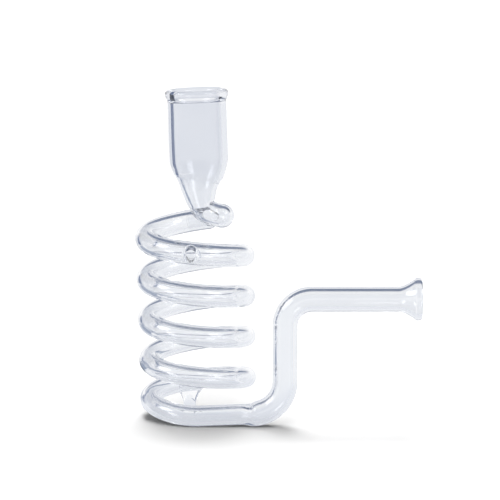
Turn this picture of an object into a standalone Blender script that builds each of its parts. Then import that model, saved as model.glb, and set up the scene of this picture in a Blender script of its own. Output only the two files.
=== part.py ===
"""A standing coil of clear glass tube with a funnel cup on top and a flared side mouthpiece.

The object is lampworked from borosilicate tube. The cup's neck bends into a short closed elbow
whose bore meets the top of a left-handed coil. The coil falls to the bench, runs out straight and
is welded to a wider outlet tube, which rises, turns level and ends in a trumpet lip.
Metres, +Z up, the outlet pointing along +X, and the origin on the bench under the object's middle.
"""

import math

import bmesh
import bpy
from mathutils import Vector

MM = 0.001

# The coil's foot, which puts the origin under the middle of the whole object's box.
COIL_FOOT = Vector((-38.35, 0.27, 0.0)) * MM
GAP = 0.3 * MM

# Facets round a tube. The rings are turned so that one flat looks straight down.
TUBE_SIDES = 12
CUP_SIDES = 24
FLAT_DEPTH = math.cos(math.pi / TUBE_SIDES)

# Coil. Angles are degrees from +X, counter-clockwise from above, and the tube falls as they grow.
COIL_RADIUS = 23.4 * MM
COIL_PITCH = 19.9 * MM
COIL_TOP = 100.0
COIL_END = 1710.0
COIL_STEP = 18.0
SETTLE_ANGLE = 30.0
TUBE_OUTER_TOP = 5.5 * MM
TUBE_OUTER_LOW = 4.95 * MM
TAPER_START = 180.0
TAPER_ANGLE = 1440.0
BORE_RATIO = 0.64
TILT_RISE = 0.7 * MM
TILT_FADE = (1260.0, 1620.0)
LEAN = 0.02
BASE_HEIGHT = TUBE_OUTER_LOW * FLAT_DEPTH
TURN_CUTS = (420.0, 780.0, 1140.0, 1500.0)
LOWEST_TURN = 1440.0
SLOPE_STEP = 0.5

# Vent: a round finger hole with a raised lip in the front of the top turn.
VENT_ANGLE = 267.5
VENT_LIP_RADIUS = 3.6 * MM
VENT_HOLE_RADIUS = 2.3 * MM
VENT_LIP_ROOT = 3.8 * MM
VENT_LIP_TOP = 5.9 * MM
VENT_SIDES = 16

# Outlet: one tube in the upright plane y = -COIL_RADIUS.
OUTLET_OUTER = 6.0 * MM
OUTLET_BORE = 4.1 * MM
WELD_X = 25.0 * MM
BEND_RADIUS = 15.8 * MM
RISER_X = 41.7 * MM
ELBOW_RADIUS = 13.0 * MM
ARM_HEIGHT = 61.75 * MM
FLARE_START_X = 96.0 * MM
FLARE_LENGTH = 8.2 * MM
LIP_LENGTH = 2.2 * MM
LIP_OUTER = 10.2 * MM
LIP_BORE = 7.9 * MM
LIP_EDGE = 0.5 * MM
FLARE_POWER = 1.6
BEND_STEPS = 8

# Cup and neck: centre line x, y, z, then outer and bore radius, from the rim down to the elbow's end.
CUP_LINE = tuple(
    tuple(value * MM for value in row)
    for row in (
        (-1.15, 17.5, 158.6, 14.4, 11.7),
        (-0.95, 17.5, 152.4, 14.4, 11.7),
        (-0.10, 17.5, 124.0, 14.4, 11.7),
        (0.05, 17.5, 120.6, 13.7, 11.1),
        (0.15, 17.5, 116.8, 12.4, 10.0),
        (0.05, 17.5, 113.2, 10.3, 8.1),
        (0.20, 17.5, 109.2, 8.75, 6.5),
        (0.90, 17.5, 104.3, 7.3, 5.0),
        (1.95, 17.4, 100.8, 6.2, 4.2),
        (4.00, 16.9, 98.7, 5.95, 4.1),
        (7.50, 15.2, 97.6, 5.9, 4.1),
        (11.40, 12.4, 97.1, 5.9, 4.1),
    )
)
ROW_BELOW_BEAD = 1
ROW_SHOULDER = 4
ROW_NECK_END = 7
ROW_ELBOW_END = 11
DOME_STEPS = 3
DOME_TOP_ANGLE = 70.0
BRANCH_END = 74.0
JOINING_BORE = 3.2 * MM

# Rim bead: a round-cornered ring, flat on top where it was ground.
BEAD_OUTER = 15.6 * MM
BEAD_BORE = 11.3 * MM
BEAD_TOP = 158.6 * MM
BEAD_BOTTOM = 152.4 * MM
BEAD_ROUND = 1.6 * MM
BEAD_CORNER_STEPS = 3

# Foot: a solid peg under the back of the lowest turn, round at its pad and oval where it spreads.
FOOT_X = -5.0 * MM
FOOT_SIDES = 16
FOOT_STEPS = 6
FOOT_PAD_RADIUS = 3.0 * MM
FOOT_TOP_X = 6.9 * MM
FOOT_TOP_Y = 4.4 * MM
FOOT_TOP_HEIGHT = 9.6 * MM
FOOT_SPREAD_POWER = 2.0

GLASS_COLOR = (0.86, 0.9, 0.95, 1.0)
GLASS_ROUGHNESS = 0.03
GLASS_IOR = 1.47
SHARP_ANGLE = 40.0


def clear_scene():
    """Remove whatever the file holds before the model is built."""
    for item in list(bpy.data.objects):
        bpy.data.objects.remove(item, do_unlink=True)


def smooth_step(value):
    """Ease from 0 to 1 with level ends."""
    value = min(max(value, 0.0), 1.0)
    return value * value * (3.0 - 2.0 * value)


def coil_height(angle):
    """Height of the tube's centre; the fall dies out over the last SETTLE_ANGLE degrees."""
    fall_per_degree = COIL_PITCH / 360.0
    left = COIL_END - angle
    if left >= SETTLE_ANGLE:
        return BASE_HEIGHT + fall_per_degree * (left - SETTLE_ANGLE / 2.0)
    return BASE_HEIGHT + fall_per_degree * left * left / (2.0 * SETTLE_ANGLE)


def coil_point(angle):
    """Centre of the coil's tube; the turns tilt a little and the whole coil leans a little."""
    fade_start, fade_end = TILT_FADE
    tilt = TILT_RISE * (1.0 - smooth_step((angle - fade_start) / (fade_end - fade_start)))
    turn = math.radians(angle)
    height = coil_height(angle) + tilt * math.cos(turn)
    x = COIL_RADIUS * math.cos(turn) - LEAN * height
    return Vector((x, COIL_RADIUS * math.sin(turn), height))


def coil_outer(angle):
    """Outer radius of the coil's tube, which was drawn thinner on the way down."""
    share = smooth_step((angle - TAPER_START) / TAPER_ANGLE)
    return TUBE_OUTER_TOP + (TUBE_OUTER_LOW - TUBE_OUTER_TOP) * share


def coil_along(angle):
    """Direction of the coil's centre line, downhill."""
    return (coil_point(angle + SLOPE_STEP) - coil_point(angle - SLOPE_STEP)).normalized()


def coil_outward(angle):
    """Level direction from the coil's axis to its tube."""
    turn = math.radians(angle)
    return Vector((math.cos(turn), math.sin(turn), 0.0))


def angles_between(start, end):
    """Evenly spaced angles, about COIL_STEP apart, with both ends."""
    count = max(2, round(abs(end - start) / COIL_STEP))
    return [start + (end - start) * step / count for step in range(count + 1)]


def coil_stations(start, end, extra=0.0, ratio=1.0):
    """Stations (centre, along, side, radius); extra thickens the coil's tube, ratio scales it."""
    stations = []
    for angle in angles_between(start, end):
        along = coil_along(angle) * math.copysign(1.0, end - start)
        radius = (coil_outer(angle) + extra) * ratio
        stations.append((coil_point(angle), along, coil_outward(angle), radius))
    return stations


def line_stations(rows, radius_column, fine):
    """Stations through CUP_LINE rows on a smooth curve, with fine steps between each pair."""
    first, last = rows
    stations = []
    for row in range(first, last):
        steps = fine + 1 if row == last - 1 else fine
        stations += [line_station(row, step / fine, radius_column) for step in range(steps)]
    return stations


def line_station(row, share, radius_column):
    """The station a share of the way from one CUP_LINE row to the next."""
    curve = [spline(row, share, column) for column in (0, 1, 2)]
    centre = Vector([value for value, _ in curve])
    along = Vector([slope for _, slope in curve]).normalized()
    radius, _ = spline(row, share, radius_column)
    return centre, along, Vector((0.0, 1.0, 0.0)), radius


def line_knots():
    """Distance along the cup's outer line at each CUP_LINE row."""
    knots = [0.0]
    for first, second in zip(CUP_LINE, CUP_LINE[1:]):
        knots.append(knots[-1] + math.dist(first[:4], second[:4]))
    return knots


def row_slope(row, column):
    """How fast a CUP_LINE column changes along the line at a row."""
    knots = line_knots()
    before, after = max(row - 1, 0), min(row + 1, len(CUP_LINE) - 1)
    return (CUP_LINE[after][column] - CUP_LINE[before][column]) / (knots[after] - knots[before])


def spline(row, share, column):
    """Value and slope of a CUP_LINE column a share of the way from one row to the next."""
    knots = line_knots()
    length = knots[row + 1] - knots[row]
    start = CUP_LINE[row][column]
    change = CUP_LINE[row + 1][column] - start
    leaving = row_slope(row, column) * length
    arriving = row_slope(row + 1, column) * length
    square = 3.0 * change - 2.0 * leaving - arriving
    cube = leaving + arriving - 2.0 * change
    value = start + share * (leaving + share * (square + share * cube))
    slope = leaving + share * (2.0 * square + share * 3.0 * cube)
    return value, slope


def arc_path(centre, radius, start, end):
    """Points and directions of an arc in the outlet's plane, in degrees from +X towards +Z."""
    path = []
    forward = math.copysign(1.0, end - start)
    for step in range(BEND_STEPS + 1):
        turn = math.radians(start + (end - start) * step / BEND_STEPS)
        outward = Vector((math.cos(turn), 0.0, math.sin(turn)))
        along = Vector((-math.sin(turn), 0.0, math.cos(turn))) * forward
        path.append((centre + outward * radius, along))
    return path


def straight_path(start, end):
    """Points and directions of a straight stretch."""
    along = (end - start).normalized()
    return [(start, along), (end, along)]


def shifted(stations, start_shift, end_shift):
    """Move the two end stations along the path: a positive shift lengthens the tube."""
    moved = list(stations)
    centre, along, side, radius = moved[0]
    moved[0] = (centre - along * start_shift, along, side, radius)
    centre, along, side, radius = moved[-1]
    moved[-1] = (centre + along * end_shift, along, side, radius)
    return moved


def with_dome(stations):
    """Close the far end of a path with a round cap of its own radius."""
    centre, along, side, radius = stations[-1]
    domed = list(stations)
    for step in range(1, DOME_STEPS + 1):
        turn = math.radians(DOME_TOP_ANGLE * step / DOME_STEPS)
        domed.append((centre + along * radius * math.sin(turn), along, side, radius * math.cos(turn)))
    return domed


def add_skin(bm, stations, sides):
    """Rings of points round a path, bridged into one open skin; returns the rings."""
    rings = []
    for centre, along, side, radius in stations:
        across = (side - along * side.dot(along)).normalized()
        lift = along.cross(across)
        ring = []
        for corner in range(sides):
            turn = 2.0 * math.pi * (corner + 0.5) / sides
            offset = across * math.cos(turn) + lift * math.sin(turn)
            ring.append(bm.verts.new(centre + offset * radius))
        rings.append(ring)
    for first, second in zip(rings, rings[1:]):
        bridge(bm, first, second)
    return rings


def bridge(bm, first, second):
    """Join two rings that have the same number of points."""
    count = len(first)
    for corner in range(count):
        following = (corner + 1) % count
        bm.faces.new((first[corner], first[following], second[following], second[corner]))


def finish_object(name, bm):
    """Turn a bmesh into a smooth-shaded object of clear glass, faces out."""
    bmesh.ops.recalc_face_normals(bm, faces=bm.faces)
    mesh = bpy.data.meshes.new(name)
    bm.to_mesh(mesh)
    bm.free()
    mesh.shade_smooth()
    mesh.set_sharp_from_angle(angle=math.radians(SHARP_ANGLE))
    mesh.materials.append(glass_material(name))
    item = bpy.data.objects.new(name, mesh)
    item.parent = bpy.data.objects["coil_foot"]
    bpy.context.scene.collection.objects.link(item)
    return item


def glass_material(name):
    """Clear borosilicate glass with a faint blue-grey cast."""
    material = bpy.data.materials.new(name + "_glass")
    material.use_nodes = True
    shader = material.node_tree.nodes["Principled BSDF"]
    shader.inputs["Base Color"].default_value = GLASS_COLOR
    shader.inputs["Roughness"].default_value = GLASS_ROUGHNESS
    shader.inputs["Metallic"].default_value = 0.0
    shader.inputs["IOR"].default_value = GLASS_IOR
    shader.inputs["Transmission Weight"].default_value = 1.0
    return material


def make_tube(name, outer, bore, sides=TUBE_SIDES):
    """A tube that is open at both ends: an outer skin, a bore skin and two flat end rings."""
    bm = bmesh.new()
    outer_rings = add_skin(bm, outer, sides)
    bore_rings = add_skin(bm, bore, sides)
    bridge(bm, outer_rings[0], bore_rings[0])
    bridge(bm, outer_rings[-1], bore_rings[-1])
    return finish_object(name, bm)


def make_rod(name, stations, sides=TUBE_SIDES):
    """A solid rod along a path, with flat ends."""
    bm = bmesh.new()
    rings = add_skin(bm, stations, sides)
    bm.faces.new(rings[0])
    bm.faces.new(rings[-1])
    return finish_object(name, bm)


def add_boolean(item, operation, tool):
    """Join or cut with a tool object, which stays out of the model itself."""
    tool.hide_render = True
    tool.display_type = "WIRE"
    modifier = item.modifiers.new(tool.name, "BOOLEAN")
    modifier.operation = operation
    modifier.solver = "EXACT"
    modifier.object = tool


def make_rim_bead():
    """The thick fire-polished ring round the cup's mouth."""
    corners = (
        (BEAD_OUTER, BEAD_TOP, 0.0),
        (BEAD_BORE, BEAD_TOP, 90.0),
        (BEAD_BORE, BEAD_BOTTOM, 180.0),
        (BEAD_OUTER, BEAD_BOTTOM, 270.0),
    )
    top = Vector(CUP_LINE[0][:3])
    axis = (top - Vector(CUP_LINE[ROW_BELOW_BEAD][:3])).normalized()
    bm = bmesh.new()
    rings = []
    for radius, height, start in corners:
        inward = 1.0 if radius == BEAD_BORE else -1.0
        downward = 1.0 if height == BEAD_BOTTOM else -1.0
        for step in range(BEAD_CORNER_STEPS + 1):
            turn = math.radians(start + 90.0 * step / BEAD_CORNER_STEPS)
            r = radius + inward * BEAD_ROUND + BEAD_ROUND * math.cos(turn)
            z = height + downward * BEAD_ROUND + BEAD_ROUND * math.sin(turn)
            rings.append(level_ring(bm, top + axis * (z - BEAD_TOP), axis, r))
    for first, second in zip(rings, rings[1:] + rings[:1]):
        bridge(bm, first, second)
    return finish_object("cup_rim_bead", bm)


def level_ring(bm, centre, axis, radius):
    """A ring of points round the cup's axis."""
    across = Vector((0.0, 1.0, 0.0))
    lift = axis.cross(across)
    ring = []
    for corner in range(CUP_SIDES):
        turn = 2.0 * math.pi * (corner + 0.5) / CUP_SIDES
        ring.append(bm.verts.new(centre + (across * math.cos(turn) + lift * math.sin(turn)) * radius))
    return ring


def make_cup():
    """The cup's wide body and the skewed throat below it."""
    rows = (ROW_BELOW_BEAD, ROW_SHOULDER)
    outer, bore = line_stations(rows, 3, fine=2), line_stations(rows, 4, fine=2)
    make_tube("cup_body", shifted(outer, -GAP, 0.0), shifted(bore, -GAP, 0.0), CUP_SIDES)
    rows = (ROW_SHOULDER, ROW_NECK_END)
    outer, bore = line_stations(rows, 3, fine=2), line_stations(rows, 4, fine=2)
    make_tube("cup_neck", shifted(outer, -GAP, 0.0), shifted(bore, -GAP, 0.0), CUP_SIDES)


def make_neck_elbow():
    """The closed elbow under the neck, joined from behind by the start of the coil."""
    rows = (ROW_NECK_END, ROW_ELBOW_END)
    elbow = make_rod("neck_elbow", shifted(with_dome(line_stations(rows, 3, fine=2)), -GAP, 0.0))
    branch = with_dome(coil_stations(COIL_TOP, BRANCH_END))
    add_boolean(elbow, "UNION", make_rod("branch_outside", branch))
    elbow_bore = with_dome(line_stations(rows, 4, fine=2))
    add_boolean(elbow, "DIFFERENCE", make_rod("elbow_bore", shifted(elbow_bore, 2.0 * GAP, 0.0)))
    branch_bore = with_dome(coil_stations(COIL_TOP, BRANCH_END, ratio=BORE_RATIO))
    add_boolean(elbow, "DIFFERENCE", make_rod("branch_bore", shifted(branch_bore, 2.0 * GAP, 0.0)))
    crossing = straight_path(coil_point(BRANCH_END), Vector(CUP_LINE[ROW_ELBOW_END - 1][:3]))
    upright = Vector((0.0, 0.0, 1.0))
    joining = [(centre, along, upright, JOINING_BORE) for centre, along in crossing]
    add_boolean(elbow, "DIFFERENCE", make_rod("joining_bore", joining))


def make_coil():
    """The coil, one node to each turn, and the lowest ring with its straight tail."""
    half_gap = math.degrees(GAP / COIL_RADIUS) / 2.0
    cuts = (COIL_TOP,) + TURN_CUTS
    turns = []
    for number, (start, end) in enumerate(zip(cuts, TURN_CUTS), start=1):
        start, end = start + half_gap, end - half_gap
        if number == 1:
            start += half_gap
        outer = coil_stations(start, end)
        bore = coil_stations(start, end, ratio=BORE_RATIO)
        turns.append(make_tube("coil_turn_%d" % number, outer, bore))
    add_vent(turns[0])
    start = TURN_CUTS[-1] + half_gap
    ring_end = coil_point(COIL_END)
    tail_end = Vector((WELD_X - GAP, ring_end.y, ring_end.z))
    outer = coil_stations(start, COIL_END)
    bore = coil_stations(start, COIL_END, ratio=BORE_RATIO)
    outer.append((tail_end,) + outer[-1][1:])
    bore.append((tail_end,) + bore[-1][1:])
    make_tube("coil_base_ring", outer, bore)


def add_vent(turn):
    """Raise a low round lip on the front of the top turn and open it into the bore."""
    centre = coil_point(VENT_ANGLE)
    outward = coil_outward(VENT_ANGLE)
    upright = Vector((0.0, 0.0, 1.0))
    lip_depths = (VENT_LIP_ROOT, VENT_LIP_TOP)
    lip = [(centre + outward * depth, outward, upright, VENT_LIP_RADIUS) for depth in lip_depths]
    add_boolean(turn, "UNION", make_rod("vent_lip", lip, VENT_SIDES))
    hole_depths = (0.0, 2.0 * VENT_LIP_TOP)
    hole = [(centre + outward * depth, outward, upright, VENT_HOLE_RADIUS) for depth in hole_depths]
    add_boolean(turn, "DIFFERENCE", make_rod("vent_hole", hole, VENT_SIDES))


def outlet_tube(name, path):
    """A stretch of the outlet's tube along a path of points and directions."""
    side = Vector((0.0, -1.0, 0.0))
    outer = [(point, along, side, OUTLET_OUTER) for point, along in path]
    bore = [(point, along, side, OUTLET_BORE) for point, along in path]
    return make_tube(name, shifted(outer, 0.0, -GAP), shifted(bore, 0.0, -GAP))


def make_outlet():
    """The lower bend, the riser, the elbow and the level arm."""
    plane_y = coil_point(COIL_END).y
    floor_z = OUTLET_OUTER * FLAT_DEPTH
    weld = Vector((WELD_X, plane_y, floor_z))
    bend_centre = Vector((RISER_X - BEND_RADIUS, plane_y, floor_z + BEND_RADIUS))
    bend = arc_path(bend_centre, BEND_RADIUS, -90.0, 0.0)
    elbow_centre = Vector((RISER_X + ELBOW_RADIUS, plane_y, ARM_HEIGHT - ELBOW_RADIUS))
    elbow = arc_path(elbow_centre, ELBOW_RADIUS, 180.0, 90.0)
    arm_end = Vector((FLARE_START_X, plane_y, ARM_HEIGHT))
    outlet_tube("outlet_bend", straight_path(weld, bend[0][0])[:1] + bend)
    outlet_tube("outlet_riser", straight_path(bend[-1][0], elbow[0][0]))
    outlet_tube("outlet_elbow", elbow)
    outlet_tube("outlet_arm", straight_path(elbow[-1][0], arm_end))
    return arm_end


def make_mouthpiece(start):
    """The trumpet end, opening ever faster into a thick straight lip with a flat ground edge."""
    side = Vector((0.0, -1.0, 0.0))
    along = Vector((1.0, 0.0, 0.0))
    outer, bore = [], []
    for step in range(BEND_STEPS + 1):
        share = step / BEND_STEPS
        centre = start + along * FLARE_LENGTH * share
        opening = share ** FLARE_POWER
        outer.append((centre, along, side, OUTLET_OUTER + (LIP_OUTER - OUTLET_OUTER) * opening))
        bore.append((centre, along, side, OUTLET_BORE + (LIP_BORE - OUTLET_BORE) * opening))
    for reach, trim in ((LIP_LENGTH, 0.0), (LIP_LENGTH + LIP_EDGE, LIP_EDGE)):
        centre = start + along * (FLARE_LENGTH + reach)
        outer.append((centre, along, side, LIP_OUTER - trim))
        bore.append((centre, along, side, LIP_BORE + trim / 2.0))
    return make_tube("mouthpiece_flare", outer, bore, CUP_SIDES)


def make_foot():
    """The solid peg that carries the back of the coil, saddled under the lowest turn."""
    back_y = math.sqrt(COIL_RADIUS ** 2 - FOOT_X ** 2)
    bm = bmesh.new()
    rings = [foot_ring(bm, back_y, step / FOOT_STEPS) for step in range(FOOT_STEPS + 1)]
    for first, second in zip(rings, rings[1:]):
        bridge(bm, first, second)
    bm.faces.new(rings[0])
    bm.faces.new(rings[-1])
    foot = finish_object("foot_stub", bm)
    above = math.degrees(math.atan2(back_y, FOOT_X)) + LOWEST_TURN
    saddle = coil_stations(above - 2.0 * COIL_STEP, above + 2.0 * COIL_STEP, extra=GAP)
    add_boolean(foot, "DIFFERENCE", make_rod("saddle_tool", saddle))


def foot_ring(bm, back_y, share):
    """An oval ring of points a share of the way up the foot."""
    spread = share ** FOOT_SPREAD_POWER
    reach_x = FOOT_PAD_RADIUS + (FOOT_TOP_X - FOOT_PAD_RADIUS) * spread
    reach_y = FOOT_PAD_RADIUS + (FOOT_TOP_Y - FOOT_PAD_RADIUS) * spread
    ring = []
    for corner in range(FOOT_SIDES):
        turn = 2.0 * math.pi * corner / FOOT_SIDES
        x = FOOT_X + reach_x * math.cos(turn)
        y = back_y + reach_y * math.sin(turn)
        ring.append(bm.verts.new((x, y, FOOT_TOP_HEIGHT * share)))
    return ring


def main():
    """Build every sub-part of the coil tube."""
    clear_scene()
    base = bpy.data.objects.new("coil_foot", None)
    base.location = COIL_FOOT
    bpy.context.scene.collection.objects.link(base)
    make_rim_bead()
    make_cup()
    make_neck_elbow()
    make_coil()
    arm_end = make_outlet()
    make_mouthpiece(arm_end)
    make_foot()


main()
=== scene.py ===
"""Looks for the standing glass coil tube: clear lampworked glass on a white studio sweep.

Every glass piece is swept at high resolution along the same curves as the CAD solids, placed from
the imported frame, and given a procedural glass. Metres, +Z up, the outlet pointing along +X.
"""

import math

import bmesh
import bpy
import numpy as np
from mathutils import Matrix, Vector


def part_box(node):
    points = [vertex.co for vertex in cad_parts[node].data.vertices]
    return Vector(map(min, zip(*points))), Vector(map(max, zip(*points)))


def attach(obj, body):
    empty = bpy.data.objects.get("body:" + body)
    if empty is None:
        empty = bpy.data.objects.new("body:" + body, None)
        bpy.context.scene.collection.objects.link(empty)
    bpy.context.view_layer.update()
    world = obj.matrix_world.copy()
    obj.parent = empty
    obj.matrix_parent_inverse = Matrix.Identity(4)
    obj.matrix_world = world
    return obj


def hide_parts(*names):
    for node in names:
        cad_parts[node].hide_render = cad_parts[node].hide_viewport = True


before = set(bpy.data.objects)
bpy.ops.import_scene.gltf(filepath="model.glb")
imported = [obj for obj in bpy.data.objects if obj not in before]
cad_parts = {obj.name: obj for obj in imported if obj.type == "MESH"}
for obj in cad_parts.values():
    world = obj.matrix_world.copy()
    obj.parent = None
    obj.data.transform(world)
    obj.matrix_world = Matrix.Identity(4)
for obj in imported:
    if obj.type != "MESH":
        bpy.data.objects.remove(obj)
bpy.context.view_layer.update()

MM = 0.001

# Coil, as in the CAD. Angles are degrees from +X, and the tube falls as they grow.
COIL_RADIUS = 23.4 * MM
COIL_PITCH = 19.9 * MM
COIL_TOP = 100.0
COIL_END = 1710.0
SETTLE_ANGLE = 30.0
TUBE_OUTER_TOP = 5.5 * MM
TUBE_OUTER_LOW = 4.95 * MM
BORE_RATIO = 0.64
TILT_RISE = 0.7 * MM
TILT_FADE = (1260.0, 1620.0)
TUBE_TAPER = (180.0, 1620.0)
LEAN = 0.02

# Slow unevenness of the bore: share of its radius, waves per radian, and start.
BORE_WAVES = ((0.015, 1.7, 0.6), (0.01, 4.3, 0.0))

# Vent in the front of the top turn, with a lip that varies a little in thickness round it.
VENT_ANGLE = 267.5
VENT_HOLE_RADIUS = 2.3 * MM
VENT_LIP_RADIUS = 3.5 * MM
VENT_LIP_THICKNESS = 1.05 * MM
VENT_LIP_UNEVEN = 0.22
VENT_LIP_BUMPS = 3.0
VENT_LIP_START = 1.0

# Outlet tube and mouthpiece. RISER_FROM_AXIS and WELD_X are measured from the coil's axis.
RISER_FROM_AXIS = 41.7 * MM
OUTLET_OUTER = 6.0 * MM
OUTLET_BORE = 4.1 * MM
WELD_X = 25.0 * MM
WELD_SWELL = 8.0 * MM
WELD_WIDTH = 2.2 * MM
WELD_PINCH = 0.9 * MM
WELD_NECKING = 0.15 * MM
BEND_RADIUS = 15.8 * MM
ELBOW_RADIUS = 13.0 * MM
FLARE_LENGTH = 8.2 * MM
FLARE_POWER = 1.6
LIP_OUTER = 10.2 * MM
LIP_BORE = 7.9 * MM

# Cup and neck, in millimetres: centre line x, y, z from the coil's foot, then outer and bore
# radius.
CUP_LINE = (
    (-1.15, 17.5, 158.6, 14.4, 11.7),
    (-0.95, 17.5, 152.4, 14.4, 11.7),
    (-0.10, 17.5, 124.0, 14.4, 11.7),
    (0.05, 17.5, 120.6, 13.7, 11.1),
    (0.15, 17.5, 116.8, 12.4, 10.0),
    (0.05, 17.5, 113.2, 10.3, 8.1),
    (0.20, 17.5, 109.2, 8.75, 6.5),
    (0.90, 17.5, 104.3, 7.3, 5.0),
    (1.95, 17.4, 100.8, 6.2, 4.2),
    (4.00, 16.9, 98.7, 5.95, 4.1),
    (7.50, 15.2, 97.6, 5.9, 4.1),
    (11.40, 12.4, 97.1, 5.9, 4.1),
)
OUTER_COLUMN = 3
BORE_COLUMN = 4

# Places along the cup and neck, counted in CUP_LINE rows.
BODY_TOP = 1
NECK_JOINT = 6.5
TUNNEL_END = 10.0
ELBOW_END = 11.0

# Weld of the elbow. Its outside and its bore are made longer than they stay: by an overrun in
# rows at the neck, and by BRANCH_OVERRUN degrees for each such row at the coil. BRANCH_END is the
# angle where the branch ends, and a cut's reach is how far round a joint it works.
OVERRUN_OUTSIDE = 0.6
OVERRUN_INSIDE = 1.0
BRANCH_OVERRUN = 14.0
BRANCH_END = 74.0
JOINING_BORE = 3.6 * MM
BRANCH_CUT_REACH = 8.0 * MM
NECK_CUT_REACH = 12.0 * MM
BRIDGE_LENGTH = 0.3 * MM

# Rim bead: widest and narrowest radius, and how far below the rim it is widest and dies out.
BEAD_OUTER = 15.55 * MM
BEAD_BORE = 11.3 * MM
BEAD_CROWN = 2.0 * MM
BEAD_FOOT = 6.2 * MM

# Foot: a round pad that spreads upwards to the saddle cut by the tube it was melted on to.
FOOT_X = -5.0 * MM
FOOT_PAD_RADIUS = 3.0 * MM
FOOT_PAD_EDGE = 0.6 * MM
FOOT_TOP_X = 6.9 * MM
FOOT_TOP_Y = 4.4 * MM
FOOT_TOP_HEIGHT = 9.6 * MM
FOOT_SPREAD_POWER = 2.0
LOWEST_TURN = 1440.0
SADDLE_REACH = 30.0

# Fineness: sides of each round shape, and steps or points along each stretch. COIL_STEP,
# TANGENT_STEP and DOME_END are in degrees.
TUBE_SIDES = 56
CUP_SIDES = 128
ELBOW_SIDES = 48
TUNNEL_SIDES = 32
VENT_LIP_SIDES = 20
VENT_HOLE_SIDES = 40
FOOT_SIDES = 64
FLOOR_SIDES = 96
COIL_STEP = 5.0
TANGENT_STEP = 0.5
CUP_STEPS = 52
BEAD_SIDE_POINTS = 14
BEAD_CROWN_POINTS = 25
ELBOW_STEPS = 24
BRANCH_POINTS = 14
DOME_STEPS = 10
DOME_END = 88.0
VENT_STEPS = 48
STRAIGHT_STEPS = 40
ARC_STEPS = 30
FLARE_POINTS = 25
LIP_POINTS = 19
FOOT_EDGE_POINTS = 7
FOOT_POINTS = 25
SADDLE_POINTS = 25

# Melting of the welded elbow, and the angle in degrees from which an edge is shaded sharp.
VOXEL = 0.25 * MM
SMOOTH_PULL = 0.5
SMOOTH_OUTSIDE = 14
SMOOTH_INSIDE = 45
SHARP_ANGLE = 50.0

HAIRLINE = 0.01 * MM
ALONG_X = Vector((1.0, 0.0, 0.0))
OUTWARD = Vector((0.0, -1.0, 0.0))
UPWARD = Vector((0.0, 0.0, 1.0))

# Glass: the two ends of each stretch's faint cloudiness, and the ripple of drawn tube.
GLASS_INDEX = 1.47
CLOUD_SCALE = 45.0
CLOUD_DETAIL = 2.0
CLOUD_EDGES = (0.35, 0.65)
RIPPLE_SCALE = 160.0
RIPPLE_DETAIL = 1.0
RIPPLE_STRENGTH = 0.02
RIPPLE_HEIGHT = 1.0 * MM
COIL_TINTS = ((0.978, 0.982, 0.990), (0.996, 0.997, 1.0))
OUTLET_TINTS = ((0.962, 0.967, 0.975), (0.978, 0.982, 0.988))
NECK_TINTS = ((0.935, 0.943, 0.957), (0.955, 0.96, 0.97))
CUP_TINTS = ((0.877, 0.888, 0.915), (0.896, 0.904, 0.926))

# Where one tint gives way to the next: distances past the weld, and heights in the neck.
TINT_PAST_WELD = (3.0 * MM, 8.0 * MM)
TINT_UP_NECK = (106.0 * MM, 122.0 * MM)

# Camera.
CAMERA_ELEVATION = 8.2
CAMERA_LENS = 180.0
CAMERA_SENSOR = 36.0
CAMERA_DISTANCE = 1.211
CAMERA_CLIP = 100.0
AIM_FROM_COIL = Vector((25.0, 0.0, 82.0)) * MM

# Floor: its size and own white, and how the glass sees it: an even glow, made dimmer near the
# object by painted shade there, with a share of the real shading. The span is the distances
# between which the painted shade near the object gives way to the far tone, and the squeeze makes
# the painted shade longer along X.
FLOOR_RADIUS = 12.0
FLOOR_WHITE = (0.93, 0.93, 0.93, 1.0)
FAR_FLOOR_COLOR = (0.85, 0.87, 0.905, 1.0)
FLOOR_SHADE_IN_GLASS = 0.15
# Painted shade: the darker tone that the glass sees on the floor close to the object, with its span
# and squeeze.
PAINTED_SHADE_SPAN = (0.03, 0.10)
PAINTED_SHADE_SQUEEZE = (0.6, 1.0, 1.0)
PAINTED_SHADE_COLOR = (0.76, 0.79, 0.85, 1.0)

# Room: its colour by height, from 0 at the horizon to 1 overhead.
HORIZON_COLOR = (0.98, 0.985, 1.0, 1.0)
CEILING_COLOR = (0.20, 0.24, 0.34, 1.0)
OVERHEAD_COLOR = (0.05, 0.06, 0.09, 1.0)
SKY = (
    (0.00, HORIZON_COLOR),
    (0.22, HORIZON_COLOR),
    (0.36, CEILING_COLOR),
    (0.80, CEILING_COLOR),
    (0.88, OVERHEAD_COLOR),
)

# Softboxes: direction, cosine of the angle at the edge and at full power, and power.
SOFTBOXES = (
    ((-0.78, -0.22, 0.58), 0.958, 0.975, 4.4),
    ((0.17, -0.50, 0.85), 0.9925, 0.9975, 4.0),
    ((0.62, -0.55, 0.56), 0.957, 0.980, 3.9),
)

# Brightness of the room for light that falls on the floor directly and through glass, and as the
# backdrop that the camera sees.
FILL = 0.21
THROUGH_GLASS = 0.10
BACKDROP = 1.2

# Overhead suns, all of one width: direction and strength.
SUN_WIDTH = 32.0
SUNS = (
    ((-0.05, 0.66, 1.0), 1.4),
    ((-0.05, 0.30, 1.0), 1.3),
    ((-0.05, -0.30, 1.0), 0.4),
    ((-0.05, -0.75, 1.0), 0.7),
)

# Standing flags: name, azimuth, distance, width, bottom, top and colour. An azimuth is in degrees
# to the right of straight ahead.
LEFT_FLAG = ("left_flag", -48.0, 0.30, 0.140, 0.012, 0.50, (0.16, 0.20, 0.32))
LEFT_RIM_FLAG = ("left_rim_flag", -50.0, 0.28, 0.17, 0.155, 0.60, (0.02, 0.03, 0.06))
RIGHT_RIM_FLAG = ("right_rim_flag", 52.0, 0.28, 0.15, 0.22, 0.60, (0.02, 0.03, 0.06))

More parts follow.
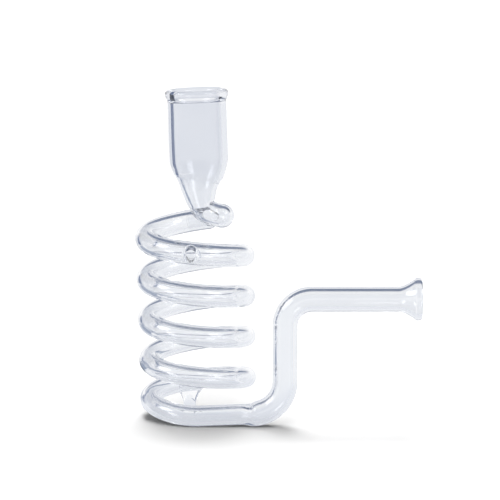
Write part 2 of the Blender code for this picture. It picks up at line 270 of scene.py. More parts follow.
# Lying flag: name, azimuth, nearest and farthest distance, width and colour.
LEFT_FLOOR_FLAG = ("left_floor_flag", -44.0, 0.07, 0.29, 0.10, (0.32, 0.37, 0.48))
LYING_HEIGHT = 0.5 * MM

# Most bounces of a light path: in all and through or off glass, and off the floor.
GLASS_BOUNCES = 96
DIFFUSE_BOUNCES = 3

# The colour sockets of Blender's Mix node, by place.
MIX_SHARE = 0
MIX_FIRST = 6
MIX_SECOND = 7
MIX_RESULT = 2


def smooth_step(value):
    """Ease from 0 to 1 with level ends."""
    value = min(max(value, 0.0), 1.0)
    return value * value * (3.0 - 2.0 * value)


def between(first, second, share):
    """The value a share of the way from the first to the second."""
    return first + (second - first) * share


def coil_foot():
    """Where the coil's axis meets the floor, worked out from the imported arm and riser."""
    arm_low, arm_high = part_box("outlet_arm")
    riser_low, riser_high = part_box("outlet_riser")
    y = (arm_low.y + arm_high.y) / 2.0 + COIL_RADIUS
    x = (riser_low.x + riser_high.x) / 2.0 - RISER_FROM_AXIS
    return Vector((x, y, 0.0))


FOOT_OF_COIL = coil_foot()


def coil_height(angle):
    """Height of the tube's centre; the fall dies out over the last SETTLE_ANGLE degrees."""
    fall_per_degree = COIL_PITCH / 360.0
    left = COIL_END - angle
    if left >= SETTLE_ANGLE:
        return TUBE_OUTER_LOW + fall_per_degree * (left - SETTLE_ANGLE / 2.0)
    return TUBE_OUTER_LOW + fall_per_degree * left * left / (2.0 * SETTLE_ANGLE)


def coil_point(angle):
    """Centre of the coil's tube."""
    fade_start, fade_end = TILT_FADE
    tilt = TILT_RISE * (1.0 - smooth_step((angle - fade_start) / (fade_end - fade_start)))
    turn = math.radians(angle)
    height = coil_height(angle) + tilt * math.cos(turn)
    x = COIL_RADIUS * math.cos(turn) - LEAN * height
    return FOOT_OF_COIL + Vector((x, COIL_RADIUS * math.sin(turn), height))


def coil_along(angle):
    """Direction of the coil's centre line, downhill."""
    return (coil_point(angle + TANGENT_STEP) - coil_point(angle - TANGENT_STEP)).normalized()


def coil_outward(angle):
    """Level direction from the coil's axis to its tube."""
    turn = math.radians(angle)
    return Vector((math.cos(turn), math.sin(turn), 0.0))


def coil_outer(angle):
    """Outer radius of the coil's tube, which was drawn thinner on the way down."""
    taper_start, taper_end = TUBE_TAPER
    share = smooth_step((angle - taper_start) / (taper_end - taper_start))
    return between(TUBE_OUTER_TOP, TUBE_OUTER_LOW, share)


def coil_station(angle, ratio=1.0, forward=1.0, extra=0.0):
    """The station (centre, along, side, radius) at an angle of the coil."""
    along = coil_along(angle) * forward
    return coil_point(angle), along, coil_outward(angle), (coil_outer(angle) + extra) * ratio


def cup_knots():
    """Distance along the cup's outer line at each CUP_LINE row."""
    knots = [0.0]
    for first, second in zip(CUP_LINE, CUP_LINE[1:]):
        knots.append(knots[-1] + math.dist(first[:4], second[:4]))
    return knots


def row_slope(row, column):
    """How fast a CUP_LINE column changes along the line at a row."""
    knots = cup_knots()
    before, after = max(row - 1, 0), min(row + 1, len(CUP_LINE) - 1)
    return (CUP_LINE[after][column] - CUP_LINE[before][column]) / (knots[after] - knots[before])


def spline(row, share, column):
    """Value and slope of a CUP_LINE column a share of the way from one row to the next."""
    knots = cup_knots()
    length = knots[row + 1] - knots[row]
    start = CUP_LINE[row][column]
    change = CUP_LINE[row + 1][column] - start
    leaving = row_slope(row, column) * length
    arriving = row_slope(row + 1, column) * length
    square = 3.0 * change - 2.0 * leaving - arriving
    cube = leaving + arriving - 2.0 * change
    value = start + share * (leaving + share * (square + share * cube))
    slope = leaving + share * (2.0 * square + share * 3.0 * cube)
    return value, slope


def cup_station(place, radius_column):
    """The station at a place counted in CUP_LINE rows, such as 2.5 half way from row 2 to 3."""
    row = min(int(place), len(CUP_LINE) - 2)
    share = place - row
    curve = [spline(row, share, column) for column in (0, 1, 2)]
    centre = Vector([value for value, _ in curve]) * MM
    along = Vector([slope for _, slope in curve]).normalized()
    radius, _ = spline(row, share, radius_column)
    return FOOT_OF_COIL + centre, along, Vector((0.0, 1.0, 0.0)), radius * MM


def with_dome(stations):
    """Close the far end of a path with a round cap of its own radius."""
    centre, along, side, radius = stations[-1]
    domed = list(stations)
    for step in range(1, DOME_STEPS + 1):
        turn = math.radians(DOME_END * step / DOME_STEPS)
        spot = centre + along * radius * math.sin(turn)
        domed.append((spot, along, side, radius * math.cos(turn)))
    return domed


def rings_of(stations, count):
    """Points of the circle at each station, as an array of stations x count x 3."""
    turns = 2.0 * np.pi * (np.arange(count) + 0.5) / count
    rings = []
    for centre, along, side, radius in stations:
        across = (side - along * side.dot(along)).normalized()
        lift = along.cross(across)
        offsets = np.outer(np.cos(turns), across) + np.outer(np.sin(turns), lift)
        rings.append(np.array(centre) + offsets * radius)
    return np.array(rings)


def mesh_from_rings(name, rings, looped, capped=False):
    """Bridge rings of equal count into one mesh, looped round or, if capped, closed at its ends."""
    rows, count, _ = rings.shape
    index = np.arange(rows * count).reshape(rows, count)
    following = np.roll(index, -1, axis=1)
    last = rows if looped else rows - 1
    faces = []
    for row in range(last):
        after = (row + 1) % rows
        quads = np.stack([index[row], following[row], following[after], index[after]], axis=1)
        faces += quads.tolist()
    if capped:
        faces += [index[0].tolist(), index[-1].tolist()]
    mesh = bpy.data.meshes.new(name)
    mesh.from_pydata(rings.reshape(-1, 3).tolist(), [], faces)
    face_out(mesh)
    return mesh


def face_out(mesh):
    """Turn every face of a closed mesh outwards."""
    bm = bmesh.new()
    bm.from_mesh(mesh)
    bmesh.ops.recalc_face_normals(bm, faces=bm.faces)
    if bm.calc_volume(signed=True) < 0.0:
        bmesh.ops.reverse_faces(bm, faces=bm.faces)
    bm.to_mesh(mesh)
    bm.free()


def add_object(name, mesh):
    """Put a mesh in the scene under a name."""
    item = bpy.data.objects.new(name, mesh)
    bpy.context.scene.collection.objects.link(item)
    return item


def rod(name, stations, count):
    """A closed solid along a path."""
    rings = rings_of(stations, count)
    return add_object(name, mesh_from_rings(name, rings, looped=False, capped=True))


def apply_modifiers(item):
    """Replace an object's mesh by its evaluated mesh."""
    evaluated = item.evaluated_get(bpy.context.evaluated_depsgraph_get())
    mesh = bpy.data.meshes.new_from_object(evaluated)
    item.modifiers.clear()
    item.data = mesh


def combine(item, operation, tool):
    """Join or cut an object with a tool, which is used up."""
    modifier = item.modifiers.new("combine", "BOOLEAN")
    modifier.operation = operation
    modifier.solver = "EXACT"
    modifier.object = tool
    apply_modifiers(item)
    bpy.data.objects.remove(tool, do_unlink=True)


def melt(item, rounds):
    """Remesh a joined solid finely and let its creases flow, as flame-worked glass does."""
    remesh = item.modifiers.new("remesh", "REMESH")
    remesh.mode = "VOXEL"
    remesh.voxel_size = VOXEL
    remesh.adaptivity = 0.0
    smooth = item.modifiers.new("smooth", "SMOOTH")
    smooth.factor = SMOOTH_PULL
    smooth.iterations = rounds
    apply_modifiers(item)


def finish_piece(item, nodes, material):
    """Shade a glass piece, put it on the frame and hide the CAD nodes it stands for."""
    item.data.shade_smooth()
    item.data.set_sharp_from_angle(angle=math.radians(SHARP_ANGLE))
    item.data.materials.clear()
    item.data.materials.append(material)
    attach(item, "root")
    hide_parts(*nodes)


def cup_rings():
    """Rings of the open cup: up the outside from the neck, over the rim bead and down the bore."""
    span = NECK_JOINT - BODY_TOP
    places = [BODY_TOP + span * step / CUP_STEPS for step in range(1, CUP_STEPS + 1)]
    outer = [cup_station(place, OUTER_COLUMN) for place in reversed(places)]
    bore = [cup_station(place, BORE_COLUMN) for place in places]
    rim_centre, down, side, wall_outer = cup_station(0.0, OUTER_COLUMN)
    _, _, _, wall_bore = cup_station(0.0, BORE_COLUMN)
    bead = []
    for drop in np.linspace(BEAD_FOOT, BEAD_CROWN, BEAD_SIDE_POINTS)[:-1]:
        bead.append((drop, between(wall_outer, BEAD_OUTER, bead_swell(drop))))
    for turn in np.radians(np.linspace(0.0, 180.0, BEAD_CROWN_POINTS)):
        radius = (BEAD_OUTER + BEAD_BORE) / 2.0 + (BEAD_OUTER - BEAD_BORE) / 2.0 * math.cos(turn)
        bead.append((BEAD_CROWN * (1.0 - math.sin(turn)), radius))
    for drop in np.linspace(BEAD_CROWN, BEAD_FOOT, BEAD_SIDE_POINTS)[1:]:
        bead.append((drop, between(wall_bore, BEAD_BORE, bead_swell(drop))))
    rim = [(rim_centre + down * drop, down, side, radius) for drop, radius in bead]
    return rings_of(outer + rim + bore, CUP_SIDES)


def bead_swell(drop):
    """Share of the bead's full thickness at a depth below the rim, from 1 at its crown to 0."""
    return 1.0 - smooth_step((drop - BEAD_CROWN) / (BEAD_FOOT - BEAD_CROWN))


def nudge(station, shift):
    """A station moved along its own direction."""
    centre, along, side, radius = station
    return centre + along * shift, along, side, radius


def make_cup_and_elbow(material):
    """The cup, its neck and the closed elbow that the coil joins from behind, fused into one."""
    outside = elbow_solid("elbow_outside", OUTER_COLUMN, 1.0, OVERRUN_OUTSIDE)
    inside = elbow_solid("elbow_inside", BORE_COLUMN, BORE_RATIO, OVERRUN_INSIDE)
    start = coil_point(BRANCH_END)
    end, _, _, _ = cup_station(TUNNEL_END, OUTER_COLUMN)
    way = (end - start).normalized()
    tunnel = [(point, way, UPWARD, JOINING_BORE) for point in (start, end)]
    combine(inside, "UNION", rod("tunnel", tunnel, TUNNEL_SIDES))
    melt(outside, SMOOTH_OUTSIDE)
    melt(inside, SMOOTH_INSIDE)
    joint, downhill, _, _ = coil_station(COIL_TOP)
    trim(outside, joint - downhill * HAIRLINE, downhill, joint)
    combine(outside, "DIFFERENCE", inside)
    cup = mesh_from_rings("cup_open", cup_rings(), looped=False)
    fuse_at_neck(outside, cup)
    outside.name = "cup_and_elbow_glass"
    finish_piece(outside, ("cup_rim_bead", "cup_body", "cup_neck", "neck_elbow"), material)


def fuse_at_neck(elbow, cup):
    """Cut the elbow square below the cup and bridge its two edge loops to the cup's."""
    centre, down, _, outer = cup_station(NECK_JOINT, OUTER_COLUMN)
    _, _, _, bore = cup_station(NECK_JOINT, BORE_COLUMN)
    middle = (outer + bore) / 2.0
    cut = centre + down * BRIDGE_LENGTH
    bm = bmesh.new()
    bm.from_mesh(elbow.data)
    near = geometry_near(bm, cut, NECK_CUT_REACH)
    bmesh.ops.bisect_plane(bm, geom=near, plane_co=cut, plane_no=-down, clear_outer=True)
    drop_crumbs(bm)
    bm.from_mesh(cup)
    loops = {True: [], False: []}
    for edge in bm.edges:
        if edge.is_boundary:
            is_outside = reach_from_axis(edge.verts[0].co, centre, down) > middle
            loops[is_outside].append(edge)
    for edges in loops.values():
        bmesh.ops.bridge_loops(bm, edges=edges)
    bmesh.ops.triangulate(bm, faces=[f for f in bm.faces if len(f.verts) > 4])
    bmesh.ops.recalc_face_normals(bm, faces=bm.faces)
    bm.to_mesh(elbow.data)
    bm.free()


def geometry_near(bm, centre, reach):
    """The vertices within reach of a point, with the edges and faces that meet them."""
    verts = [v for v in bm.verts if (v.co - centre).length < reach]
    edges = dict.fromkeys(e for v in verts for e in v.link_edges)
    faces = dict.fromkeys(f for v in verts for f in v.link_faces)
    return verts + list(edges) + list(faces)


def drop_crumbs(bm):
    """Keep only the largest connected part."""
    left = set(bm.verts)
    parts = []
    while left:
        front = [left.pop()]
        part = list(front)
        while front:
            vert = front.pop()
            for edge in vert.link_edges:
                other = edge.other_vert(vert)
                if other in left:
                    left.remove(other)
                    front.append(other)
                    part.append(other)
        parts.append(part)
    parts.sort(key=len)
    for part in parts[:-1]:
        bmesh.ops.delete(bm, geom=part, context="VERTS")


def reach_from_axis(point, centre, along):
    """Distance of a point from the line through centre."""
    arm = point - centre
    return (arm - along * arm.dot(along)).length


def elbow_solid(name, radius_column, ratio, overrun):
    """The elbow and the branch as one solid, longer than the piece by an overrun at both ends."""
    start = NECK_JOINT - overrun
    span = ELBOW_END - start
    places = [start + span * step / ELBOW_STEPS for step in range(ELBOW_STEPS + 1)]
    elbow = with_dome([cup_station(place, radius_column) for place in places])
    item = rod(name, elbow, ELBOW_SIDES)
    angles = np.linspace(COIL_TOP + BRANCH_OVERRUN * overrun, BRANCH_END, BRANCH_POINTS)
    branch = with_dome([coil_station(angle, ratio, forward=-1.0) for angle in angles])
    combine(item, "UNION", rod(name + "_branch", branch, ELBOW_SIDES))
    return item


def trim(item, point, outward, centre):
    """Cut a solid square with a plane near the branch's open end and close the cut."""
    bm = bmesh.new()
    bm.from_mesh(item.data)
    near = geometry_near(bm, centre, BRANCH_CUT_REACH)
    bmesh.ops.bisect_plane(bm, geom=near, plane_co=point, plane_no=outward, clear_outer=True)
    rim = [e for e in bm.edges if e.is_boundary]
    bmesh.ops.contextual_create(bm, geom=rim)
    bmesh.ops.recalc_face_normals(bm, faces=bm.faces)
    bm.to_mesh(item.data)
    bm.free()


def make_coil_and_outlet(material):
    """The drawn tube from the elbow to the mouthpiece: coil, weld, bend, riser, arm and flare."""
    angles = np.arange(COIL_TOP, COIL_END + COIL_STEP / 2.0, COIL_STEP)
    outer = [coil_station(angle) for angle in angles]
    bore = [coil_station(angle, ratio=bore_ratio(angle)) for angle in angles]
    outer[0] = nudge(outer[0], HAIRLINE)
    bore[0] = nudge(bore[0], HAIRLINE)
    outlet_outer, lip, outlet_bore = outlet_stations()
    rings = rings_of(outer + outlet_outer + lip + outlet_bore[::-1] + bore[::-1], TUBE_SIDES)
    tube = add_object("coil_and_outlet_glass", mesh_from_rings("tube", rings, looped=True))
    cut_vent(tube)
    coil = ("coil_turn_1", "coil_turn_2", "coil_turn_3", "coil_turn_4", "coil_base_ring")
    outlet = ("outlet_bend", "outlet_riser", "outlet_elbow", "outlet_arm", "mouthpiece_flare")
    finish_piece(tube, coil + outlet, material)


def bore_ratio(angle):
    """Bore over outer radius, which varies a little from turn to turn."""
    turn = math.radians(angle)
    change = 1.0
    for share, waves, start in BORE_WAVES:
        change += share * math.sin(waves * turn + start)
    return BORE_RATIO * change


def cut_vent(coil):
    """Add the raised fire-polished lip and open the hole through the wall."""
    centre, along, outward, tube = coil_station(VENT_ANGLE)
    up = outward.cross(along) * -1.0
    ring = []
    for step in range(VENT_STEPS):
        turn = 2.0 * math.pi * step / VENT_STEPS
        height = VENT_LIP_RADIUS * math.sin(turn)
        depth = math.sqrt(tube ** 2 - height ** 2)
        spot = centre + along * VENT_LIP_RADIUS * math.cos(turn) + up * height + outward * depth
        ring.append(spot)
    stations = []
    for step, spot in enumerate(ring):
        way = (ring[(step + 1) % VENT_STEPS] - ring[step - 1]).normalized()
        phase = VENT_LIP_BUMPS * 2.0 * math.pi * step / VENT_STEPS + VENT_LIP_START
        uneven = 1.0 + VENT_LIP_UNEVEN * math.sin(phase)
        stations.append((spot, way, outward, VENT_LIP_THICKNESS * uneven))
    rings = rings_of(stations, VENT_LIP_SIDES)
    lip = add_object("vent_lip", mesh_from_rings("vent_lip", rings, looped=True))
    combine(coil, "UNION", lip)
    ends = (centre, centre + outward * 2.0 * tube)
    hole = [(end, outward, up, VENT_HOLE_RADIUS) for end in ends]
    combine(coil, "DIFFERENCE", rod("vent_hole", hole, VENT_HOLE_SIDES))


def outlet_path(arm_z):
    """Points and directions from the end of the coil to the start of the arm."""
    end = coil_point(COIL_END)
    riser_x = FOOT_OF_COIL.x + RISER_FROM_AXIS
    bend_centre = Vector((riser_x - BEND_RADIUS, end.y, OUTLET_OUTER + BEND_RADIUS))
    elbow_centre = Vector((riser_x + ELBOW_RADIUS, end.y, arm_z - ELBOW_RADIUS))
    bend = arc(bend_centre, BEND_RADIUS, -90.0, 0.0)
    gap = bend[0][0] - end
    shares = [step / STRAIGHT_STEPS for step in range(1, STRAIGHT_STEPS)]
    straight = [(end + gap * share, ALONG_X) for share in shares]
    return straight + bend + arc(elbow_centre, ELBOW_RADIUS, 180.0, 90.0)


def welded(path):
    """Outside and bore along the path; at the weld the bore pinches and the thicker tube begins."""
    outer, bore = [], []
    open_bore = TUBE_OUTER_LOW * BORE_RATIO
    before, _ = path[0]
    past_weld = before.x - (FOOT_OF_COIL.x + WELD_X)
    for point, along in path:
        past_weld += (point - before).length
        before = point
        swell = smooth_step(past_weld / WELD_SWELL + 0.5)
        pinch = math.exp(-(past_weld / WELD_WIDTH) ** 2)
        outer_radius = between(TUBE_OUTER_LOW, OUTLET_OUTER, swell) - WELD_NECKING * pinch
        bore_radius = between(open_bore, OUTLET_BORE, swell) - WELD_PINCH * pinch
        drop = (OUTLET_OUTER - outer_radius) * along.x * swell
        lowered = Vector((point.x, point.y, point.z - drop))
        outer.append((lowered, along, OUTWARD, outer_radius))
        bore.append((lowered, along, OUTWARD, bore_radius))
    return outer, bore


def outlet_stations():
    """Stations of the outlet's outside, its rounded lip and its bore."""
    arm_low, arm_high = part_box("outlet_arm")
    mouth_low, mouth_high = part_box("mouthpiece_flare")
    y = coil_point(COIL_END).y
    arm_z = (arm_low.z + arm_high.z) / 2.0
    outer, bore = welded(outlet_path(arm_z))
    for share in np.linspace(0.0, 1.0, FLARE_POINTS):
        opening = share ** FLARE_POWER
        centre = Vector((mouth_low.x + FLARE_LENGTH * share, y, arm_z))
        outer.append((centre, ALONG_X, OUTWARD, between(OUTLET_OUTER, LIP_OUTER, opening)))
        bore.append((centre, ALONG_X, OUTWARD, between(OUTLET_BORE, LIP_BORE, opening)))
    lip_radius = (LIP_OUTER - LIP_BORE) / 2.0
    lip = []
    for turn in np.radians(np.linspace(0.0, 180.0, LIP_POINTS)):
        radius = (LIP_OUTER + LIP_BORE) / 2.0 + lip_radius * math.cos(turn)
        x = mouth_high.x - lip_radius * (1.0 - math.sin(turn))
        lip.append((Vector((x, y, arm_z)), ALONG_X, OUTWARD, radius))
    return outer, lip, bore


def arc(centre, radius, start, end):
    """Points and directions of an arc in the outlet's plane, in degrees from +X towards +Z."""
    path = []
    forward = math.copysign(1.0, end - start)
    for step in range(ARC_STEPS + 1):
        turn = math.radians(start + (end - start) * step / ARC_STEPS)
        outward = Vector((math.cos(turn), 0.0, math.sin(turn)))
        along = Vector((-math.sin(turn), 0.0, math.cos(turn))) * forward
        path.append((centre + outward * radius, along))
    return path


def make_foot(material):
    """The solid peg under the back of the coil, spread along the tube where it was melted on."""
    low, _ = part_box("foot_stub")
    back_y = FOOT_OF_COIL.y + math.sqrt(COIL_RADIUS ** 2 - FOOT_X ** 2)
    spot = Vector((FOOT_OF_COIL.x + FOOT_X, back_y, low.z))
    turns = 2.0 * np.pi * np.arange(FOOT_SIDES) / FOOT_SIDES
    rings = []
    for height, reach_x, reach_y in foot_outline():
        ring = np.zeros((FOOT_SIDES, 3)) + np.array(spot)
        ring[:, 0] += reach_x * np.cos(turns)
        ring[:, 1] += reach_y * np.sin(turns)
        ring[:, 2] += height
        rings.append(ring)
    mesh = mesh_from_rings("foot", np.array(rings), looped=False, capped=True)
    foot = add_object("foot_glass", mesh)
    above = LOWEST_TURN + math.degrees(math.atan2(back_y - FOOT_OF_COIL.y, FOOT_X))
    angles = np.linspace(above - SADDLE_REACH, above + SADDLE_REACH, SADDLE_POINTS)
    saddle = [coil_station(angle, extra=2.0 * HAIRLINE) for angle in angles]
    combine(foot, "DIFFERENCE", rod("saddle", saddle, TUBE_SIDES))
    finish_piece(foot, ("foot_stub",), material)


def foot_outline():
    """(height, reach along X, reach along Y) up the foot, from its rounded pad."""
    outline = []
    for turn in np.radians(np.linspace(0.0, 90.0, FOOT_EDGE_POINTS)):
        reach = FOOT_PAD_RADIUS - FOOT_PAD_EDGE * (1.0 - math.sin(turn))
        outline.append((FOOT_PAD_EDGE * (1.0 - math.cos(turn)), reach, reach))
    for share in np.linspace(0.0, 1.0, FOOT_POINTS)[1:]:
        spread = share ** FOOT_SPREAD_POWER
        reach_x = between(FOOT_PAD_RADIUS, FOOT_TOP_X, spread)
        reach_y = between(FOOT_PAD_RADIUS, FOOT_TOP_Y, spread)
        outline.append((between(FOOT_PAD_EDGE, FOOT_TOP_HEIGHT, share), reach_x, reach_y))
    return outline


def glass_material(name, first_tints, second_tints, axis, change):
    """Clear borosilicate: a cloudy blue-grey tint that changes along an axis, and a fine ripple."""
    material = bpy.data.materials.new(name)
    material.use_nodes = True
    nodes, links = material.node_tree.nodes, material.node_tree.links
    shader = nodes["Principled BSDF"]
    shader.inputs["Metallic"].default_value = 0.0
    shader.inputs["IOR"].default_value = GLASS_INDEX
    shader.inputs["Transmission Weight"].default_value = 1.0
    shader.inputs["Roughness"].default_value = 0.0
    place = nodes.new("ShaderNodeTexCoord")
    cloud = noise(nodes, links, place, CLOUD_SCALE, CLOUD_DETAIL)
    split = nodes.new("ShaderNodeSeparateXYZ")
    links.new(place.outputs["Object"], split.inputs["Vector"])
    stretch = eased(nodes, links, split.outputs[axis], change)
    first = tint_ramp(nodes, links, cloud, first_tints)
    second = tint_ramp(nodes, links, cloud, second_tints)
    links.new(mix_colors(nodes, links, stretch, first, second), shader.inputs["Base Color"])
    bump = nodes.new("ShaderNodeBump")
    bump.inputs["Strength"].default_value = RIPPLE_STRENGTH
    bump.inputs["Distance"].default_value = RIPPLE_HEIGHT
    links.new(noise(nodes, links, place, RIPPLE_SCALE, RIPPLE_DETAIL), bump.inputs["Height"])
    links.new(bump.outputs["Normal"], shader.inputs["Normal"])
    return material


def noise(nodes, links, place, scale, detail):
    """Soft noise fixed to the object."""
    texture = nodes.new("ShaderNodeTexNoise")
    texture.inputs["Scale"].default_value = scale
    texture.inputs["Detail"].default_value = detail
    links.new(place.outputs["Object"], texture.inputs["Vector"])
    return texture.outputs["Fac"]


def tint_ramp(nodes, links, cloud, pair):
    """A cloudy mix of two close tints."""
    ramp = nodes.new("ShaderNodeValToRGB")
    for element, position, tint in zip(ramp.color_ramp.elements, CLOUD_EDGES, pair):
        element.position = position
        element.color = (*tint, 1.0)
    links.new(cloud, ramp.inputs["Fac"])
    return ramp.outputs["Color"]


def eased(nodes, links, value, span, interpolation="SMOOTHSTEP"):
    """A share that goes from 0 to 1 as a value crosses a span, and stays there."""
    ease = nodes.new("ShaderNodeMapRange")
    ease.interpolation_type = interpolation
    ease.inputs["From Min"].default_value, ease.inputs["From Max"].default_value = span
    links.new(value, ease.inputs["Value"])
    return ease.outputs["Result"]


def mix_colors(nodes, links, share, first, second):
    """A colour that goes from first to second with a share; each is a socket or a plain colour."""
    mix = nodes.new("ShaderNodeMix")
    mix.data_type = "RGBA"
    links.new(share, mix.inputs[MIX_SHARE])
    for place, color in ((MIX_FIRST, first), (MIX_SECOND, second)):
        if isinstance(color, bpy.types.NodeSocket):
            links.new(color, mix.inputs[place])
        else:
            mix.inputs[place].default_value = color
    return mix.outputs[MIX_RESULT]


def flat_material(name, color):
    """An even glow, for studio cards."""
    material = bpy.data.materials.new(name)
    material.use_nodes = True
    nodes, links = material.node_tree.nodes, material.node_tree.links
    nodes.clear()
    glow = nodes.new("ShaderNodeEmission")
    glow.inputs["Color"].default_value = (*color, 1.0)
    glow.inputs["Strength"].default_value = 1.0
    out = nodes.new("ShaderNodeOutputMaterial")
    links.new(glow.outputs["Emission"], out.inputs["Surface"])
    return material


def floor_material():
    """Matt white floor; the glass sees it evenly lit, a little grey, with painted shade near it."""
    material = bpy.data.materials.new("studio_white")
    material.use_nodes = True
    nodes, links = material.node_tree.nodes, material.node_tree.links
    shader = nodes["Principled BSDF"]
    shader.inputs["Base Color"].default_value = FLOOR_WHITE
    shader.inputs["Roughness"].default_value = 1.0
    shader.inputs["Specular IOR Level"].default_value = 0.0
    # The glow that the glass sees here carries painted shade close to the object.
    glow_with_painted_shade = nodes.new("ShaderNodeEmission")
    links.new(floor_glow_with_painted_shade(nodes, links), glow_with_painted_shade.inputs["Color"])
    partly = nodes.new("ShaderNodeMixShader")
    partly.inputs["Fac"].default_value = 1.0 - FLOOR_SHADE_IN_GLASS
    links.new(shader.outputs["BSDF"], partly.inputs[1])
    links.new(glow_with_painted_shade.outputs["Emission"], partly.inputs[2])
    path = nodes.new("ShaderNodeLightPath")
    in_glass = nodes.new("ShaderNodeMath")
    in_glass.operation = "MAXIMUM"
    links.new(path.outputs["Is Glossy Ray"], in_glass.inputs[0])
    links.new(path.outputs["Is Transmission Ray"], in_glass.inputs[1])
    seen = nodes.new("ShaderNodeMixShader")
    links.new(in_glass.outputs["Value"], seen.inputs["Fac"])
    links.new(shader.outputs["BSDF"], seen.inputs[1])
    links.new(partly.outputs["Shader"], seen.inputs[2])
    links.new(seen.outputs["Shader"], nodes["Material Output"].inputs["Surface"])
    return material


def floor_glow_with_painted_shade(nodes, links):
    """The glow that the glass sees on the floor, with painted shade that dims it close to the
    object.
    """
    place = nodes.new("ShaderNodeTexCoord")
    squeeze = nodes.new("ShaderNodeVectorMath")
    squeeze.operation = "MULTIPLY"
    squeeze.inputs[1].default_value = PAINTED_SHADE_SQUEEZE
    links.new(place.outputs["Object"], squeeze.inputs[0])
    distance = nodes.new("ShaderNodeVectorMath")
    distance.operation = "LENGTH"
    links.new(squeeze.outputs["Vector"], distance.inputs[0])
    # Painted shade: darker close to the object, giving way to the far tone across the span.
    far = eased(nodes, links, distance.outputs["Value"], PAINTED_SHADE_SPAN)
    return mix_colors(nodes, links, far, PAINTED_SHADE_COLOR, FAR_FLOOR_COLOR)


def make_floor():
    """A wide round floor under the object."""
    bm = bmesh.new()
    bmesh.ops.create_circle(bm, cap_ends=True, segments=FLOOR_SIDES, radius=FLOOR_RADIUS)
    mesh = bpy.data.meshes.new("floor")
    bm.to_mesh(mesh)
    bm.free()
    floor = add_object("floor", mesh)
    mesh.materials.append(floor_material())


def make_card(name, azimuth, distance, width, bottom, top, color):
    """A flag standing beside the object, facing it."""
    edges = ((distance, bottom), (distance, top))
    add_flag(name, azimuth, width, edges, color)


def make_strip(name, azimuth, near, far, width, color):
    """A flag lying on the floor, pointing away from the object."""
    edges = ((near, LYING_HEIGHT), (far, LYING_HEIGHT))
    add_flag(name, azimuth, width, edges, color)


def add_flag(name, azimuth, width, edges, color):
    """A card between two level edges (distance, height), which only the glass mirrors or bends."""
    out, across = compass(azimuth)
    half = across * (width / 2.0)
    corners = []
    for (distance, height), sides in zip(edges, ((-1.0, 1.0), (1.0, -1.0))):
        for side in sides:
            spot = FOOT_OF_COIL + out * distance + half * side + UPWARD * height
            corners.append(tuple(spot))
    mesh = bpy.data.meshes.new(name)
    mesh.from_pydata(corners, [], [(0, 1, 2, 3)])
    mesh.materials.append(flat_material(name + "_tone", color))
    flag = add_object(name, mesh)
    flag.visible_camera = False
    flag.visible_diffuse = False
    flag.visible_shadow = False


def compass(azimuth):
    """Level directions away from the object and across, for a direction seen from the camera."""
    turn = math.radians(azimuth)
    out = Vector((math.sin(turn), math.cos(turn), 0.0))
    across = Vector((math.cos(turn), -math.sin(turn), 0.0))
    return out, across


def make_world():
    """A white room whose upper part is dim, with softboxes, where the glass mirrors or bends it."""
    world = bpy.data.worlds.new("studio")
    bpy.context.scene.world = world
    world.use_nodes = True
    nodes, links = world.node_tree.nodes, world.node_tree.links
    background = nodes["Background"]
    place = nodes.new("ShaderNodeTexCoord")
    split = nodes.new("ShaderNodeSeparateXYZ")
    links.new(place.outputs["Generated"], split.inputs["Vector"])
    sky = nodes.new("ShaderNodeValToRGB")
    for position, color in SKY[2:]:
        sky.color_ramp.elements.new(position).color = color
    for element, (position, color) in zip(sky.color_ramp.elements, SKY):
        element.position, element.color = position, color
    links.new(split.outputs["Z"], sky.inputs["Fac"])
    room = sky.outputs["Color"]
    for direction, edge, full, power in SOFTBOXES:
        dot = nodes.new("ShaderNodeVectorMath")
        dot.operation = "DOT_PRODUCT"
        dot.inputs[1].default_value = Vector(direction).normalized()
        links.new(place.outputs["Generated"], dot.inputs[0])
        mask = eased(nodes, links, dot.outputs["Value"], (edge, full), "LINEAR")
        room = mix_colors(nodes, links, mask, room, grey(power))
    path = nodes.new("ShaderNodeLightPath")
    for ray, level in (
        ("Diffuse Depth", THROUGH_GLASS),
        ("Is Diffuse Ray", FILL),
        ("Is Camera Ray", BACKDROP),
    ):
        room = mix_colors(nodes, links, path.outputs[ray], room, grey(level))
    links.new(room, background.inputs["Color"])


def grey(level):
    """A colourless brightness."""
    return (level, level, level, 1.0)


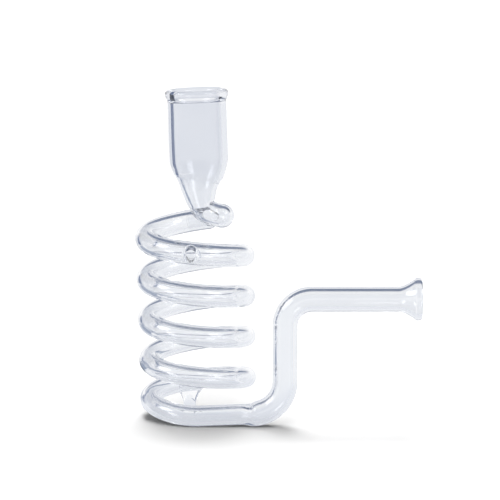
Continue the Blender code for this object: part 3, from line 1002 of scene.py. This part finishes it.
def make_suns():
    """Very wide overhead lights, from behind to in front, for the soft shadow under the coil."""
    for number, (direction, power) in enumerate(SUNS):
        light = bpy.data.lights.new("overhead_%d" % number, "SUN")
        light.energy = power
        light.angle = math.radians(SUN_WIDTH)
        item = bpy.data.objects.new(light.name, light)
        item.rotation_euler = Vector(direction).to_track_quat("Z", "Y").to_euler()
        item.visible_glossy = False
        item.visible_transmission = False
        bpy.context.scene.collection.objects.link(item)


def make_camera():
    """A long lens at the front, slightly raised."""
    rise = math.radians(CAMERA_ELEVATION)
    camera = bpy.data.cameras.new("camera")
    camera.lens = CAMERA_LENS
    camera.sensor_width = CAMERA_SENSOR
    camera.clip_end = CAMERA_CLIP
    item = bpy.data.objects.new("camera", camera)
    look = Vector((0.0, math.cos(rise), -math.sin(rise)))
    item.location = FOOT_OF_COIL + AIM_FROM_COIL - look * CAMERA_DISTANCE
    item.rotation_euler = look.to_track_quat("-Z", "Y").to_euler()
    bpy.context.scene.collection.objects.link(item)
    bpy.context.scene.camera = item


def set_render():
    """Plain colours, and light paths long enough for light that runs along inside the glass."""
    scene = bpy.context.scene
    scene.view_settings.view_transform = "Standard"
    scene.view_settings.look = "None"
    scene.cycles.max_bounces = GLASS_BOUNCES
    scene.cycles.transmission_bounces = GLASS_BOUNCES
    scene.cycles.glossy_bounces = GLASS_BOUNCES
    scene.cycles.diffuse_bounces = DIFFUSE_BOUNCES


make_camera()
set_render()
make_world()
make_suns()
make_floor()
make_card(*LEFT_FLAG)
make_strip(*LEFT_FLOOR_FLAG)
make_card(*LEFT_RIM_FLAG)
make_card(*RIGHT_RIM_FLAG)

weld_x = FOOT_OF_COIL.x + WELD_X
past_weld = tuple(weld_x + distance for distance in TINT_PAST_WELD)
tube_glass = glass_material("tube_glass", COIL_TINTS, OUTLET_TINTS, "X", past_weld)
cup_glass = glass_material("cup_glass", NECK_TINTS, CUP_TINTS, "Z", TINT_UP_NECK)
make_cup_and_elbow(cup_glass)
make_coil_and_outlet(tube_glass)
make_foot(tube_glass)
